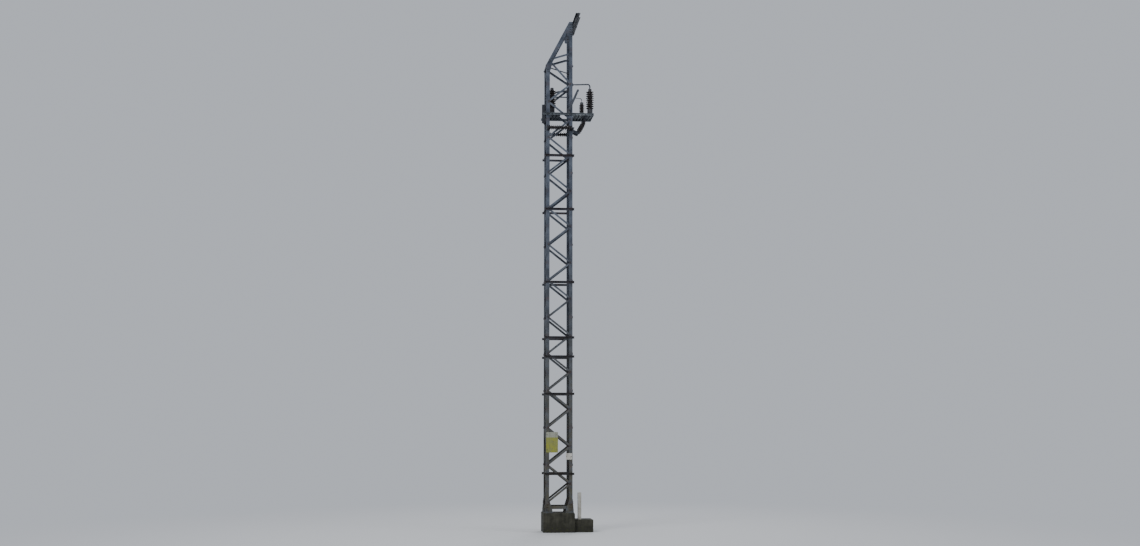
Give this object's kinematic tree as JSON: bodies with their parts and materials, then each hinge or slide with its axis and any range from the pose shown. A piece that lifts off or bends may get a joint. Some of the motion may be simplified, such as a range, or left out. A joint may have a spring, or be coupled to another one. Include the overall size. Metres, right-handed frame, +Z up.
{
  "type": "railway catenary mast",
  "caption": "Square laced steel lattice mast with a raked head, a cantilevered top beam, clamped collars and a switch shelf with shedded insulators on a concrete block.",
  "frame": {"origin": "middle of the underside of the concrete block that carries the mast, at ground level", "axes": "+Z up the mast, +X across to the track, +Y along the track"},
  "size_m": [1.406, 1.89, 13.561],
  "materials": {
    "concrete": "rough weathered concrete",
    "marker_concrete": "pale weathered concrete",
    "galvanised_steel": "dull weathered zinc, matt",
    "shelf_steel": "lighter dull zinc",
    "dark_steel": "dark weathered paint",
    "collar_steel": "dark zinc with rust at the edges",
    "porcelain": "brown glaze, dulled by soot",
    "fitting_metal": "grey cast fittings",
    "conductor": "dull conductor metal"
  },
  "bodies": {
    "root": {"anchor_post": "dark_steel", "anchor_rails": "dark_steel", "arm_lug": "fitting_metal", "base_ring": "galvanised_steel", "beam_cleats": "dark_steel", "beam_eye_far": "dark_steel", "beam_eye_near": "dark_steel", "beam_inner_channel": "dark_steel", "beam_outer_channel": "dark_steel", "busbar": "conductor", "collar_1": "collar_steel", "collar_2": "collar_steel", "collar_3": "collar_steel", "collar_4": "collar_steel", "collar_5": "collar_steel", "collar_6": "collar_steel", "collar_7": "collar_steel", "contact_horn": "conductor", "cross_brackets": "fitting_metal", "cross_insulator_far": "porcelain", "cross_insulator_near": "porcelain", "far_link": "conductor", "foot_gussets": "galvanised_steel", "foot_plates": "galvanised_steel", "foundation_block": "concrete", "foundation_ledge": "concrete", "head_bar_far": "galvanised_steel", "head_bar_near": "galvanised_steel", "joint_plates_far": "galvanised_steel", "joint_plates_near": "galvanised_steel", "knee_brace": "galvanised_steel", "knee_tie_left": "galvanised_steel", "knee_tie_right": "galvanised_steel", "lacing_far": "galvanised_steel", "lacing_left": "galvanised_steel", "lacing_near": "galvanised_steel", "lacing_right": "galvanised_steel", "left_fittings": "fitting_metal", "left_insulator": "porcelain", "leg_far_left": "galvanised_steel", "leg_far_right": "galvanised_steel", "leg_near_left": "galvanised_steel", "leg_near_right": "galvanised_steel", "marker_post": "marker_concrete", "rake_far": "galvanised_steel", "rake_near": "galvanised_steel", "right_fittings": "fitting_metal", "right_insulator": "porcelain", "shelf_bearers": "shelf_steel", "shelf_channel_far": "shelf_steel", "shelf_channel_near": "shelf_steel", "small_fittings": "fitting_metal", "small_insulator": "porcelain", "strut_ends": "fitting_metal", "strut_insulator_far": "porcelain", "strut_insulator_near": "porcelain", "strut_rails": "shelf_steel", "switch_arm": "conductor"}
  },
  "joints": []
}
